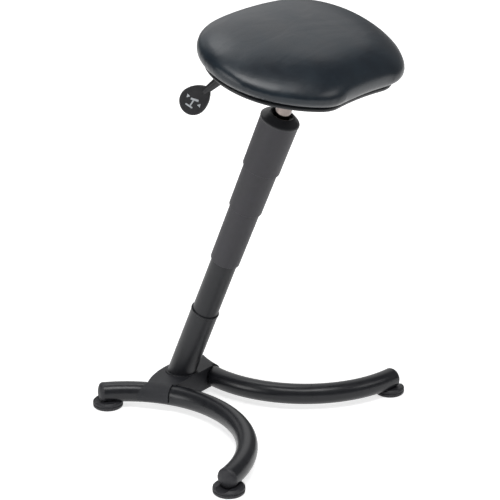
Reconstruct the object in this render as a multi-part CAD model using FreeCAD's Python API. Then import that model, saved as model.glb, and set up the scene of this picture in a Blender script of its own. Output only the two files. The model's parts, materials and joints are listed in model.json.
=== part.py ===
import FreeCAD, Part
import math
import os
from FreeCAD import Placement, Rotation, Vector

# Perch stool with a leaning gas lift. All sizes are millimetres.
# The sitter faces -Y, so the sitter's right hand is on the -X side.
# While building, the floor plane is Z = 0 and the two base tubes lie evenly about X = 0.

# Base: two bowed tubes, back to back
TUBE_DIAMETER = 38.0
TUBE_WALL = 2.0
TUBE_BOW_RADIUS = 224.0
TUBE_BOW_SPACING = 548.0
TUBE_HEIGHT = 28.0
FRONT_FOOT_ANGLE = -83.0
REAR_FOOT_ANGLE = 46.0
FRONT_OVERHANG = 3.0
REAR_OVERHANG = 7.5
CAP_DOME = 10.5
CAP_KNUCKLE = 8.0
CAP_RIM = 0.5
CAP_PLUG_LENGTH = 16.0
CAP_PLUG_PLAY = 0.7

# Feet
FOOT_DIAMETER = 56.0
FOOT_HEIGHT = 14.0
FOOT_LOWER_HEIGHT = 7.0
FOOT_GROOVE = 1.2
FOOT_SCREW_DIAMETER = 4.0

# Column, measured along its own axis from the floor
COLUMN_LEAN = 23.0
COLUMN_FLOOR_Y = 102.5
COLUMN_DIAMETER = 51.0
COLUMN_FOOT = 26.0
COLUMN_TOP = 205.0
COLUMN_RIM = 3.0

# Sheet-steel saddle that ties the tubes to the column
SADDLE_SHEET = 3.0
SADDLE_FRONT = 50.0
SADDLE_REAR = 104.0
SADDLE_WING_WRAP = 112.0
SADDLE_SKIRT_BOTTOM = 8.0
SADDLE_HALF_WIDTH = 95.0
SADDLE_REAR_BOW = 30.0
SADDLE_WING_LAP = 6.0
SADDLE_WING_SLOPE = 20.0
WELD_BEAD_WIDTH = 2.5
WELD_BEAD_HEIGHT = 2.0

# Gas lift
LIFT_STROKE = 200.0
STANDPIPE_DIAMETER = 48.0
STANDPIPE_WALL = 2.0
STANDPIPE_FOOT = 60.0
STANDPIPE_TOP = 420.0
CYLINDER_DIAMETER = 28.0
CYLINDER_BORE = 23.0
CYLINDER_FOOT = 330.0
CYLINDER_SHOULDER = 658.0
CYLINDER_TOP = 696.0
TAPER_TOP_DIAMETER = 26.4
ROD_DIAMETER = 10.0
BUTTON_DIAMETER = 8.0
BUTTON_STAND = 6.0
RUNNING_GAP = 0.06

# Telescopic cover: heights of the lower edges, widths at each piece's upper edge
COVER_EDGES = {"cover_lower": 323.0, "cover_middle": 441.0, "cover_upper": 529.0}
COVER_WIDTHS = {"cover_lower": 55.6, "cover_middle": 62.0, "cover_upper": 69.0}
COVER_DRAFT = 1.5
COVER_WALL = 1.6
COVER_LIP = 3.0
COVER_GAP = 0.35
CAP_SEAM = 628.0

# Seat
SEAT_TILT = 16.0
SEAT_STATION = 733.0
SEAT_TRAY_HEIGHT = 8.5
SEAT_TRAY_WALL = 2.5
TRAY_FLOOR_SCALE = 0.866
TRAY_RIM_SCALE = 0.912
TRAY_RIM_ROLL = 0.035
TRAY_RIM_LOW = -70.0
TRAY_RIM_HIGH = 50.0
TRAY_RIM_STEPS = 5
BOARD_THICKNESS = 9.0
CUSHION_THICKNESS = 57.5
CUSHION_STEPS = 15
CUSHION_UNDERCUT = 40.0
CUSHION_CROWN_END = 84.0
CUSHION_FULLNESS = 0.7
CUSHION_SQUARENESS = 0.48
FRONT_CORNER_CENTRE = (79.0, -67.0)
FRONT_CORNER_RADIUS = 73.0
REAR_CORNER_CENTRE = (75.0, 3.0)
REAR_CORNER_RADIUS = 131.0
FRONT_HOLLOW_RADIUS = 700.0
SIDE_RADIUS = 205.0
REAR_RADIUS = 720.0
SCREW_SPACING_X = 120.0
SCREW_SPACING_Y = 140.0

# Seat mechanism and height lever, measured in the seat's own frame
PLATE_THICKNESS = 3.0
HOUSING_DEPTH = 40.0
HOUSING_WIDTH = 64.0
HOUSING_LENGTH = 92.0
HOUSING_SHEET = 2.5
SOCKET_DIAMETER = 38.0
LEVER_DIRECTION = 136.0
LEVER_DROP = 26.0
LEVER_ROD_DIAMETER = 8.0
LEVER_REACH = 113.0
LEVER_PIVOT_REACH = 22.0
LEVER_TURN_DOWN = 52.0
LEVER_OUTER = 55.0
LEVER_GRIP_START = 60.0
LEVER_GRIP_RADIUS = 9.8
LEVER_NECK_RADIUS = 5.6
PADDLE_LENGTH = 50.0
PADDLE_WIDTH = 48.0
PADDLE_NECK_REACH = 33.0
PADDLE_NECK_WIDTH = 12.0
PADDLE_THICKNESS = 8.0
PADDLE_TWIST = -58.0

UP = Vector(0, 0, 1)
ALONG_X = Vector(1, 0, 0)
ALONG_Y = Vector(0, 1, 0)
ORIGIN = Vector(0, 0, 0)

tube_radius = TUBE_DIAMETER / 2
column_radius = COLUMN_DIAMETER / 2
standpipe_radius = STANDPIPE_DIAMETER / 2
cylinder_radius = CYLINDER_DIAMETER / 2
rod_radius = ROD_DIAMETER / 2

pieces = {}


def turned(points):
    """Solid of revolution about Z from a closed outline of (radius, height) points."""
    corners = [Vector(radius, 0, height) for radius, height in points]
    outline = Part.makePolygon(corners + [corners[0]])
    return Part.Face(outline).revolve(ORIGIN, UP, 360)


def ring(outer, inner, bottom, top):
    """Plain tube standing on Z between two heights."""
    body = Part.makeCylinder(outer, top - bottom, Vector(0, 0, bottom))
    if inner > 0:
        body = body.cut(Part.makeCylinder(inner, top - bottom, Vector(0, 0, bottom)))
    return body


def box_between(low, high):
    """Box from its lowest to its highest corner."""
    size = [high[i] - low[i] for i in range(3)]
    return Part.makeBox(size[0], size[1], size[2], Vector(*low))


def mirrored(shape):
    """The same shape on the other side of the X = 0 plane."""
    return shape.mirror(ORIGIN, ALONG_X)


# The column's frame: Z runs up the leaning axis from the point where it meets the floor
column_frame = Placement(Vector(0, COLUMN_FLOOR_Y, 0), Rotation(ALONG_X, COLUMN_LEAN))
column_axis = column_frame.Rotation.multVec(UP)

# The seat's frame: the underside of the seat, where the column's axis meets it
seat_origin = column_frame.multVec(Vector(0, 0, SEAT_STATION))
seat_frame = Placement(seat_origin, Rotation(ALONG_X, SEAT_TILT))


def on_column(shape):
    placed = shape.copy()
    placed.Placement = column_frame.multiply(placed.Placement)
    return placed


def on_seat(shape):
    placed = shape.copy()
    placed.Placement = seat_frame.multiply(placed.Placement)
    return placed


def column_in_seat(shape):
    """Moves a shape from the column's frame into the seat's frame."""
    placed = shape.copy()
    placed.Placement = seat_frame.inverse().multiply(column_frame).multiply(placed.Placement)
    return placed


# Base tubes: each is a circular bow about an upright axis at one side
bow_centre = Vector(-TUBE_BOW_SPACING / 2, 0, 0)
bow_start = FRONT_FOOT_ANGLE - math.degrees(FRONT_OVERHANG / TUBE_BOW_RADIUS)
bow_end = REAR_FOOT_ANGLE + math.degrees(REAR_OVERHANG / TUBE_BOW_RADIUS)


def bow_frame(angle):
    """Frame on the bow's centreline, with X along the bow towards growing angles."""
    turn = Rotation(UP, angle)
    place = bow_centre + turn.multVec(Vector(TUBE_BOW_RADIUS, 0, 0)) + Vector(0, 0, TUBE_HEIGHT)
    return Placement(place, Rotation(UP, angle + 90))


def bow_sweep(section, start, end):
    """Sweeps a section, drawn on the centreline at angle zero, along part of the bow."""
    begun = section.copy()
    begun.rotate(bow_centre, UP, start)
    return begun.revolve(bow_centre, UP, end - start)


bow_zero = bow_centre + Vector(TUBE_BOW_RADIUS, 0, TUBE_HEIGHT)


def tube_section(outer, inner):
    ring_face = Part.Face(Part.Wire(Part.Circle(bow_zero, ALONG_Y, outer).toShape()))
    hole_face = Part.Face(Part.Wire(Part.Circle(bow_zero, ALONG_Y, inner).toShape()))
    return ring_face.cut(hole_face).Faces[0]


def foot_place(angle):
    spot = bow_frame(angle).Base
    return Vector(spot.x, spot.y, 0)


tube_full_section = Part.Face(Part.Wire(Part.Circle(bow_zero, ALONG_Y, tube_radius).toShape()))
right_tube_space = bow_sweep(tube_full_section, bow_start, bow_end)
right_tube = bow_sweep(tube_section(tube_radius, tube_radius - TUBE_WALL), bow_start, bow_end)
for foot_angle in (FRONT_FOOT_ANGLE, REAR_FOOT_ANGLE):
    screw_hole = Part.makeCylinder(FOOT_SCREW_DIAMETER / 2, TUBE_HEIGHT, foot_place(foot_angle))
    right_tube = right_tube.cut(screw_hole)
pieces["base_tube_right"] = right_tube
pieces["base_tube_left"] = mirrored(right_tube)


def dome_outline():
    """Half outline of the cap's outside, in (X, Z): rim, rounded knuckle and flatter crown."""
    knuckle_reach = tube_radius - CAP_KNUCKLE
    # The crown's radius follows from its tangent meeting with the knuckle
    crown_radius = (knuckle_reach ** 2 + CAP_DOME ** 2 - CAP_KNUCKLE ** 2) / (2 * (CAP_DOME - CAP_KNUCKLE))
    crown_centre = CAP_RIM + CAP_DOME - crown_radius
    meeting = math.asin(knuckle_reach / (crown_radius - CAP_KNUCKLE))

    def on_knuckle(turn):
        """Point on the knuckle, its turn counted from the cap's axis."""
        along = CAP_RIM + CAP_KNUCKLE * math.cos(turn)
        return Vector(along, 0, knuckle_reach + CAP_KNUCKLE * math.sin(turn))

    def on_crown(turn):
        return Vector(crown_centre + crown_radius * math.cos(turn), 0, crown_radius * math.sin(turn))

    rim_start = Vector(0, 0, tube_radius)
    rim_end = Vector(CAP_RIM, 0, tube_radius)
    halfway = (meeting + math.pi / 2) / 2
    return [
        Part.makeLine(rim_start, rim_end),
        Part.Arc(rim_end, on_knuckle(halfway), on_knuckle(meeting)).toShape(),
        Part.Arc(on_knuckle(meeting), on_crown(meeting / 2), on_crown(0)).toShape(),
        Part.makeLine(on_crown(0), ORIGIN),
        Part.makeLine(ORIGIN, rim_start),
    ]


def tube_cap(angle, outward):
    """Domed plastic plug: a stem inside the tube and a rounded end outside it."""
    plug_radius = tube_radius - TUBE_WALL - CAP_PLUG_PLAY
    head = Part.Face(Part.Wire(dome_outline())).revolve(ORIGIN, ALONG_X, 360)
    stem_foot = Vector(-CAP_PLUG_LENGTH, 0, 0)
    stem = Part.makeCylinder(plug_radius, CAP_PLUG_LENGTH, stem_foot, ALONG_X)
    hollow = Part.makeCylinder(plug_radius - 2, CAP_PLUG_LENGTH - 2, stem_foot, ALONG_X)
    cap = head.fuse(stem).removeSplitter().cut(hollow)
    if not outward:
        cap.rotate(ORIGIN, UP, 180)
    cap.Placement = bow_frame(angle).multiply(cap.Placement)
    return cap


def foot(angle):
    """Two-step disc foot whose top is dished to carry the tube."""
    radius = FOOT_DIAMETER / 2
    waist = radius - FOOT_GROOVE
    profile = [
        (0, 0),
        (radius - 2.5, 0),
        (radius - 0.4, 2.0),
        (radius, FOOT_LOWER_HEIGHT - 1.5),
        (waist, FOOT_LOWER_HEIGHT),
        (radius, FOOT_LOWER_HEIGHT + 1.2),
        (radius - 0.4, FOOT_HEIGHT - 3.0),
        (radius - 3.5, FOOT_HEIGHT),
        (0, FOOT_HEIGHT),
    ]
    disc = turned(profile)
    head_recess = Part.makeCylinder(FOOT_SCREW_DIAMETER + 0.5, 4.5)
    shank_hole = Part.makeCylinder(FOOT_SCREW_DIAMETER / 2 + 0.2, FOOT_HEIGHT)
    disc = disc.cut(head_recess).cut(shank_hole)
    disc.translate(foot_place(angle))
    # The dish is longer than the tube's end, so that the domed cap is cleared too
    dish = bow_sweep(tube_full_section, angle - 12, angle + 12)
    return disc.cut(dish)


def foot_screw(angle):
    """Pan-head screw, up through the foot into the wall of the tube."""
    head = Part.makeCylinder(FOOT_SCREW_DIAMETER, 2.8, Vector(0, 0, 1.7))
    head = head.cut(Part.makeCylinder(1.6, 1.6, Vector(0, 0, 1.7)))
    shank = Part.makeCylinder(FOOT_SCREW_DIAMETER / 2 - 0.05, 10.0, Vector(0, 0, 4.5))
    screw = head.fuse(shank)
    screw.translate(foot_place(angle))
    return screw


screws = []
for place_name, foot_angle in (("front", FRONT_FOOT_ANGLE), ("rear", REAR_FOOT_ANGLE)):
    tube_end = bow_start if place_name == "front" else bow_end
    screw_space = Part.makeCylinder(FOOT_SCREW_DIAMETER / 2, TUBE_HEIGHT, foot_place(foot_angle))
    cap_right = tube_cap(tube_end, place_name == "rear").cut(screw_space)
    pieces["tube_cap_" + place_name + "_right"] = cap_right
    pieces["tube_cap_" + place_name + "_left"] = mirrored(cap_right)
    foot_right = foot(foot_angle)
    pieces["foot_" + place_name + "_right"] = foot_right
    pieces["foot_" + place_name + "_left"] = mirrored(foot_right)
    screw_right = foot_screw(foot_angle)
    screws.append(screw_right)
    screws.append(mirrored(screw_right))
pieces["foot_screws"] = Part.makeCompound(screws)


# Saddle: a folded sheet that lies on both tubes, wraps their outer sides and carries the column
def saddle_bracket():
    inner = tube_radius
    outer = tube_radius + SADDLE_SHEET
    top = TUBE_HEIGHT + inner
    wrap = math.radians(SADDLE_WING_WRAP)

    def on_section(radius, angle):
        """Point on the tube's section, its angle counted from the top towards the bow's axis."""
        return bow_zero + Vector(-radius * math.sin(angle), 0, radius * math.cos(angle))

    inside = [on_section(inner, share * wrap) for share in (0, 0.5, 1)]
    outside = [on_section(outer, share * wrap) for share in (0, 0.5, 1)]
    wing_edges = [
        Part.Arc(*inside).toShape(),
        Part.makeLine(inside[2], outside[2]),
        Part.Arc(*reversed(outside)).toShape(),
        Part.makeLine(outside[0], inside[0]),
    ]
    wing_section = Part.Face(Part.Wire(wing_edges))
    wing_foot_rear = SADDLE_REAR + 2 * SADDLE_WING_LAP
    wing_top_rear = wing_foot_rear - SADDLE_WING_SLOPE
    wing_front = math.degrees(math.asin((SADDLE_FRONT + SADDLE_WING_LAP) / TUBE_BOW_RADIUS))
    wing_rear = math.degrees(math.asin(wing_foot_rear / TUBE_BOW_RADIUS))
    wing = bow_sweep(wing_section, wing_front, wing_rear)
    # The wing's rear edge slopes, so that it reaches further back at its foot than at its top
    trim = Part.Face(
        Part.makePolygon(
            [
                Vector(0, wing_top_rear, top + 10),
                Vector(0, wing_foot_rear + 50, top + 10),
                Vector(0, wing_foot_rear + 50, 0),
                Vector(0, wing_foot_rear, 0),
                Vector(0, wing_top_rear, top + 10),
            ]
        )
    ).extrude(Vector(-TUBE_BOW_SPACING / 2, 0, 0))
    wing = wing.cut(trim)

    # The deck between the tubes has a straight front edge and a bowed rear edge
    half = SADDLE_HALF_WIDTH
    rear_sides = SADDLE_REAR + 14 - SADDLE_REAR_BOW
    front_left = Vector(half, SADDLE_FRONT, top)
    front_right = Vector(-half, SADDLE_FRONT, top)
    rear_left = Vector(half, rear_sides, top)
    rear_right = Vector(-half, rear_sides, top)
    rear_middle = Vector(0, rear_sides + SADDLE_REAR_BOW, top)
    deck_edge = Part.Wire(
        [
            Part.makeLine(front_right, front_left),
            Part.makeLine(front_left, rear_left),
            Part.Arc(rear_left, rear_middle, rear_right).toShape(),
            Part.makeLine(rear_right, front_right),
        ]
    )
    deck = Part.Face(deck_edge).extrude(Vector(0, 0, SADDLE_SHEET))
    skirt = box_between(
        (-half, SADDLE_FRONT, SADDLE_SKIRT_BOTTOM), (half, SADDLE_FRONT + SADDLE_SHEET, top + 1)
    )
    for side in (-1, 1):
        beyond_centreline = Part.makeCylinder(TUBE_BOW_RADIUS, 100, Vector(side * TUBE_BOW_SPACING / 2, 0, 0))
        deck = deck.cut(beyond_centreline)
        skirt = skirt.cut(beyond_centreline)
    skirt = skirt.cut(right_tube_space).cut(mirrored(right_tube_space))

    # A weld bead runs round the column where it passes the deck
    bead = Part.makeCylinder(column_radius + WELD_BEAD_WIDTH, 120)
    bead.Placement = column_frame
    bead_low = top + SADDLE_SHEET
    bead = bead.common(box_between((-half, -half, bead_low), (half, 2 * half, bead_low + WELD_BEAD_HEIGHT)))
    column_space = Part.makeCylinder(column_radius, 160)
    column_space.Placement = column_frame
    folded = deck.fuse([wing, mirrored(wing), skirt, bead]).cut(column_space)
    return folded.removeSplitter()


pieces["saddle_bracket"] = saddle_bracket()


# Column tube with a rolled rim, welded through the saddle
def column_tube():
    bore = standpipe_radius + 0.05
    rim = column_radius + 0.9
    profile = [
        (bore, COLUMN_FOOT),
        (column_radius, COLUMN_FOOT),
        (column_radius, COLUMN_TOP - COLUMN_RIM - 1),
        (rim, COLUMN_TOP - COLUMN_RIM),
        (rim, COLUMN_TOP - 0.8),
        (rim - 0.8, COLUMN_TOP),
        (bore, COLUMN_TOP),
    ]
    return on_column(turned(profile))


pieces["column_tube"] = column_tube()


# Gas lift, seen from the bottom up: clip, washer, standpipe, bearing, damper, rod, guide, cylinder
def standpipe():
    bore = standpipe_radius - STANDPIPE_WALL
    floor_top = STANDPIPE_FOOT + 3
    profile = [
        (rod_radius + 0.5, STANDPIPE_FOOT),
        (standpipe_radius - 1, STANDPIPE_FOOT),
        (standpipe_radius, STANDPIPE_FOOT + 1),
        (standpipe_radius, STANDPIPE_TOP),
        (bore, STANDPIPE_TOP),
        (bore, floor_top),
        (rod_radius + 0.5, floor_top),
    ]
    return turned(profile)


clip_height = STANDPIPE_FOOT - 3
washer_height = STANDPIPE_FOOT - 1
bearing_height = STANDPIPE_FOOT + 3
piston_height = CYLINDER_FOOT + 14
bore_radius = CYLINDER_BORE / 2


def retaining_clip():
    """Flat clip in the rod's groove, open at one side so that it slides on."""
    clip = ring(8.0, rod_radius - 1 + 0.05, clip_height, clip_height + 2)
    mouth = box_between((0, -(rod_radius - 1.2), clip_height - 1), (10, rod_radius - 1.2, clip_height + 3))
    return clip.cut(mouth)


def thrust_bearing():
    """Cage of a thrust bearing, grooved all round between its two faces."""
    low = bearing_height + 1.5
    profile = [
        (rod_radius + 0.8, low),
        (12.0, low),
        (12.0, low + 1),
        (11.0, low + 2),
        (12.0, low + 3),
        (12.0, low + 4),
        (rod_radius + 0.8, low + 4),
    ]
    return turned(profile)


def piston_rod():
    """Rod with a clip groove at its foot and the piston at its head."""
    groove_low = clip_height - 0.05
    groove_high = clip_height + 2.05
    seal = 0.6
    profile = [
        (0, clip_height - 5),
        (rod_radius - 1, clip_height - 5),
        (rod_radius, clip_height - 4),
        (rod_radius, groove_low),
        (rod_radius - 1, groove_low),
        (rod_radius - 1, groove_high),
        (rod_radius, groove_high),
        (rod_radius, piston_height),
        (bore_radius - RUNNING_GAP, piston_height),
        (bore_radius - RUNNING_GAP, piston_height + 4),
        (bore_radius - seal, piston_height + 5),
        (bore_radius - seal, piston_height + 8),
        (bore_radius - RUNNING_GAP, piston_height + 9),
        (bore_radius - RUNNING_GAP, piston_height + 13),
        (0, piston_height + 13),
    ]
    return turned(profile)


def gas_cylinder():
    """Chromed pressure tube with a rolled foot and a tapered head that seats in the socket."""
    pin_bore = BUTTON_DIAMETER / 2 + RUNNING_GAP
    profile = [
        (8.0, CYLINDER_FOOT),
        (cylinder_radius - 1, CYLINDER_FOOT),
        (cylinder_radius, CYLINDER_FOOT + 1),
        (cylinder_radius, CYLINDER_SHOULDER),
        (TAPER_TOP_DIAMETER / 2, CYLINDER_TOP),
        (pin_bore, CYLINDER_TOP),
        (pin_bore, CYLINDER_TOP - 47),
        (0, CYLINDER_TOP - 47),
        (0, CYLINDER_TOP - 62),
        (bore_radius, CYLINDER_TOP - 62),
        (bore_radius, CYLINDER_FOOT + 1),
        (8.0, CYLINDER_FOOT + 1),
    ]
    return turned(profile)


def guide_bush():
    """Flanged plastic bush in the mouth of the standpipe, in which the cylinder slides and turns."""
    bore = cylinder_radius + RUNNING_GAP
    sleeve = standpipe_radius - STANDPIPE_WALL
    profile = [
        (bore, STANDPIPE_TOP - 70),
        (sleeve, STANDPIPE_TOP - 70),
        (sleeve, STANDPIPE_TOP),
        (standpipe_radius - 0.5, STANDPIPE_TOP),
        (standpipe_radius - 0.5, STANDPIPE_TOP + 2),
        (bore + 1, STANDPIPE_TOP + 2),
        (bore, STANDPIPE_TOP + 1),
    ]
    return turned(profile)


pieces["standpipe"] = on_column(standpipe())
pieces["retaining_clip"] = on_column(retaining_clip())
pieces["clip_washer"] = on_column(ring(9.0, rod_radius + 0.2, washer_height, STANDPIPE_FOOT))
bearing_washers = [
    ring(12.5, rod_radius + 0.3, bearing_height, bearing_height + 1.5),
    ring(12.5, rod_radius + 0.3, bearing_height + 5.5, bearing_height + 7.0),
]
pieces["bearing_washers"] = on_column(Part.makeCompound(bearing_washers))
pieces["thrust_bearing"] = on_column(thrust_bearing())
pieces["damper_ring"] = on_column(ring(12.0, rod_radius + 0.3, bearing_height + 7, bearing_height + 16))
pieces["piston_rod"] = on_column(piston_rod())
pieces["guide_bush"] = on_column(guide_bush())
pieces["gas_cylinder"] = on_column(gas_cylinder())
rod_guide = ring(bore_radius, rod_radius + RUNNING_GAP, CYLINDER_FOOT + 1, CYLINDER_FOOT + 8)
pieces["rod_guide"] = on_column(rod_guide)
button_height = CYLINDER_TOP + BUTTON_STAND
button_profile = [
    (0, CYLINDER_TOP - 42),
    (BUTTON_DIAMETER / 2, CYLINDER_TOP - 42),
    (BUTTON_DIAMETER / 2, button_height - 1),
    (BUTTON_DIAMETER / 2 - 1, button_height),
    (0, button_height),
]
pieces["release_button"] = on_column(turned(button_profile))


# Telescopic cover: each piece hangs by its collar on the lip of the one around it
def cover_piece(name, top, collar_radius, around_radius):
    outer_top = COVER_WIDTHS[name] / 2
    outer_low = outer_top - COVER_DRAFT / 2
    low = COVER_EDGES[name]
    profile = [
        (around_radius + COVER_GAP, low),
        (outer_low - 0.6, low),
        (outer_low, low + 0.6),
        (outer_top, top),
        (outer_top - COVER_WALL, top),
        (outer_low - COVER_WALL, low + COVER_LIP),
        (around_radius + COVER_GAP, low + COVER_LIP),
    ]
    piece = turned(profile)
    if collar_radius:
        piece = piece.fuse(ring(collar_radius, outer_top - COVER_WALL, top - COVER_LIP, top)).removeSplitter()
    return on_column(piece)


def inside_at_lip(name):
    """Inner radius of a cover piece just above its lip."""
    return COVER_WIDTHS[name] / 2 - COVER_DRAFT / 2 - COVER_WALL


middle_top = COVER_EDGES["cover_upper"] + 2 * COVER_LIP + COVER_GAP
lower_top = COVER_EDGES["cover_middle"] + 2 * COVER_LIP + COVER_GAP
middle_collar = inside_at_lip("cover_upper") - COVER_GAP
lower_collar = inside_at_lip("cover_middle") - COVER_GAP
pieces["cover_lower"] = cover_piece("cover_lower", lower_top, lower_collar, standpipe_radius)
pieces["cover_middle"] = cover_piece(
    "cover_middle", middle_top, middle_collar, COVER_WIDTHS["cover_lower"] / 2
)
pieces["cover_upper"] = cover_piece("cover_upper", CAP_SEAM, 0, COVER_WIDTHS["cover_middle"] / 2)


def column_cap():
    """Bell-shaped cap on the cover, with a sunken collar round the cylinder."""
    bore = cylinder_radius + RUNNING_GAP
    rim = COVER_WIDTHS["cover_upper"] / 2 + 0.7
    stem = COVER_WIDTHS["cover_upper"] / 2 - COVER_WALL - 0.05
    stem_low = stem - COVER_DRAFT / 2 * 0.15
    profile = [
        (stem_low - 2.0, CAP_SEAM - 10),
        (stem_low, CAP_SEAM - 10),
        (stem_low, CAP_SEAM),
        (rim - 0.5, CAP_SEAM),
        (rim, CAP_SEAM + 0.8),
        (rim, CAP_SEAM + 3),
        (rim - 1.5, CAP_SEAM + 5),
        (23.0, CAP_SEAM + 13.0),
        (21.0, CAP_SEAM + 14.0),
        (19.0, CAP_SEAM + 13.5),
        (17.5, CAP_SEAM + 9),
        (bore + 1.2, CAP_SEAM + 8.5),
        (bore, CAP_SEAM + 7.5),
        (bore, CAP_SEAM + 2),
        (17.0, CAP_SEAM + 2),
        (17.5, CAP_SEAM + 6),
        (20.5, CAP_SEAM + 10.5),
        (stem_low - 2.0, CAP_SEAM + 2.5),
    ]
    return on_column(turned(profile))


pieces["column_cap"] = column_cap()

# At the end of the lift's travel the lowered cap and cover still stand clear of what is under them
cover_clearance = COVER_EDGES["cover_upper"] - LIFT_STROKE - COLUMN_TOP
cap_clearance = CAP_SEAM + 2 - LIFT_STROKE - (STANDPIPE_TOP + 2)
print("lowered cover above the column tube", cover_clearance, "mm, cap above the bush", cap_clearance, "mm")


# Seat outline: eight arcs that run into each other, alike on both sides
def leftmost_meeting(first, first_reach, second, second_reach):
    """The one of two circles' two meeting points that has the smaller X."""
    gap_x = second[0] - first[0]
    gap_y = second[1] - first[1]
    gap = math.hypot(gap_x, gap_y)
    along = (first_reach ** 2 - second_reach ** 2 + gap ** 2) / (2 * gap)
    aside = math.sqrt(first_reach ** 2 - along ** 2)
    base_x = first[0] + along * gap_x / gap
    base_y = first[1] + along * gap_y / gap
    choices = [
        (base_x + aside * gap_y / gap, base_y - aside * gap_x / gap),
        (base_x - aside * gap_y / gap, base_y + aside * gap_x / gap),
    ]
    return min(choices)


def toward(centre, target, reach):
    """Point at a distance from a centre, in the direction of a target."""
    length = math.hypot(target[0] - centre[0], target[1] - centre[1])
    share = reach / length
    return (centre[0] + share * (target[0] - centre[0]), centre[1] + share * (target[1] - centre[1]))


hollow_reach = FRONT_HOLLOW_RADIUS + FRONT_CORNER_RADIUS
hollow_centre = (
    0.0,
    FRONT_CORNER_CENTRE[1] - math.sqrt(hollow_reach ** 2 - FRONT_CORNER_CENTRE[0] ** 2),
)
side_centre = leftmost_meeting(
    FRONT_CORNER_CENTRE,
    SIDE_RADIUS - FRONT_CORNER_RADIUS,
    REAR_CORNER_CENTRE,
    SIDE_RADIUS - REAR_CORNER_RADIUS,
)
rear_reach = REAR_RADIUS - REAR_CORNER_RADIUS
rear_centre = (0.0, REAR_CORNER_CENTRE[1] - math.sqrt(rear_reach ** 2 - REAR_CORNER_CENTRE[0] ** 2))

front_middle = (0.0, hollow_centre[1] + FRONT_HOLLOW_RADIUS)
front_join = toward(hollow_centre, FRONT_CORNER_CENTRE, FRONT_HOLLOW_RADIUS)
side_front_join = toward(side_centre, FRONT_CORNER_CENTRE, SIDE_RADIUS)
side_rear_join = toward(side_centre, REAR_CORNER_CENTRE, SIDE_RADIUS)
rear_join = toward(rear_centre, REAR_CORNER_CENTRE, REAR_RADIUS)
rear_middle_point = (0.0, rear_centre[1] + REAR_RADIUS)


def arc_middle(centre, start, end, radius):
    """Middle point of the short arc between two points on a circle."""
    halfway = ((start[0] + end[0]) / 2, (start[1] + end[1]) / 2)
    return toward(centre, halfway, radius)


corner_middle = arc_middle(FRONT_CORNER_CENTRE, front_join, side_front_join, FRONT_CORNER_RADIUS)
side_middle = arc_middle(side_centre, side_front_join, side_rear_join, SIDE_RADIUS)
rear_corner_middle = arc_middle(REAR_CORNER_CENTRE, side_rear_join, rear_join, REAR_CORNER_RADIUS)


def seat_outline(scale, height):
    """The seat's plan outline, drawn smaller or larger, at a height in the seat's frame."""
    right_points = [
        front_join,
        corner_middle,
        side_front_join,
        side_middle,
        side_rear_join,
        rear_corner_middle,
        rear_join,
    ]

    def spot(point, side):
        return Vector(side * scale * point[0], scale * point[1], height)

    edges = [Part.Arc(spot(front_join, -1), spot(front_middle, 1), spot(front_join, 1)).toShape()]
    for i in (0, 2, 4):
        start, middle, end = right_points[i : i + 3]
        edges.append(Part.Arc(spot(start, 1), spot(middle, 1), spot(end, 1)).toShape())
    edges.append(Part.Arc(spot(rear_join, 1), spot(rear_middle_point, 1), spot(rear_join, -1)).toShape())
    for i in (4, 2, 0):
        start, middle, end = right_points[i : i + 3]
        edges.append(Part.Arc(spot(end, -1), spot(middle, -1), spot(start, -1)).toShape())
    return Part.Wire(edges)


def seat_loft(sections, ruled=False):
    """Closed solid through seat outlines given as (scale, height)."""
    return Part.makeLoft([seat_outline(scale, height) for scale, height in sections], True, ruled)


screw_places = []
for screw_x in (-SCREW_SPACING_X / 2, SCREW_SPACING_X / 2):
    for screw_y in (-SCREW_SPACING_Y / 2, SCREW_SPACING_Y / 2):
        screw_places.append(Vector(screw_x, screw_y, 0))


def holes(radius, low, high):
    """Cutting cylinders at the four seat screws."""
    return [Part.makeCylinder(radius, high - low, Vector(p.x, p.y, low)) for p in screw_places]


board_low = SEAT_TRAY_WALL
board_top = board_low + BOARD_THICKNESS
board_scale = 0.82


def seat_tray():
    """Moulded underside of the seat: a shallow dish whose rolled rim shows below the upholstery."""
    rim_sections = [(TRAY_FLOOR_SCALE, 0)]
    lowest = math.sin(math.radians(TRAY_RIM_LOW))
    highest = math.sin(math.radians(TRAY_RIM_HIGH))
    for step in range(TRAY_RIM_STEPS + 1):
        # The rim's side goes round from facing down to facing upwards
        turn = math.radians(TRAY_RIM_LOW + step * (TRAY_RIM_HIGH - TRAY_RIM_LOW) / TRAY_RIM_STEPS)
        climb = (math.sin(turn) - lowest) / (highest - lowest)
        scale = TRAY_RIM_SCALE + TRAY_RIM_ROLL * (math.cos(turn) - 1)
        rim_sections.append((scale, 1 + (SEAT_TRAY_HEIGHT - 1) * climb))
    outside = seat_loft(rim_sections, True)
    wall = TRAY_RIM_SCALE - TRAY_RIM_ROLL
    inside = seat_loft([(board_scale, SEAT_TRAY_WALL), (wall, SEAT_TRAY_HEIGHT + 1)], True)
    return outside.cut(inside).cut(holes(3.3, -1, SEAT_TRAY_HEIGHT))


def seat_board():
    """Plywood board with counterbores for the tee nuts."""
    board = seat_loft([(board_scale, board_low), (board_scale, board_top)])
    board = board.cut(holes(4.0, board_low - 1, board_top + 1))
    return board.cut(holes(9.0, board_top - 1.5, board_top + 1))


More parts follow.
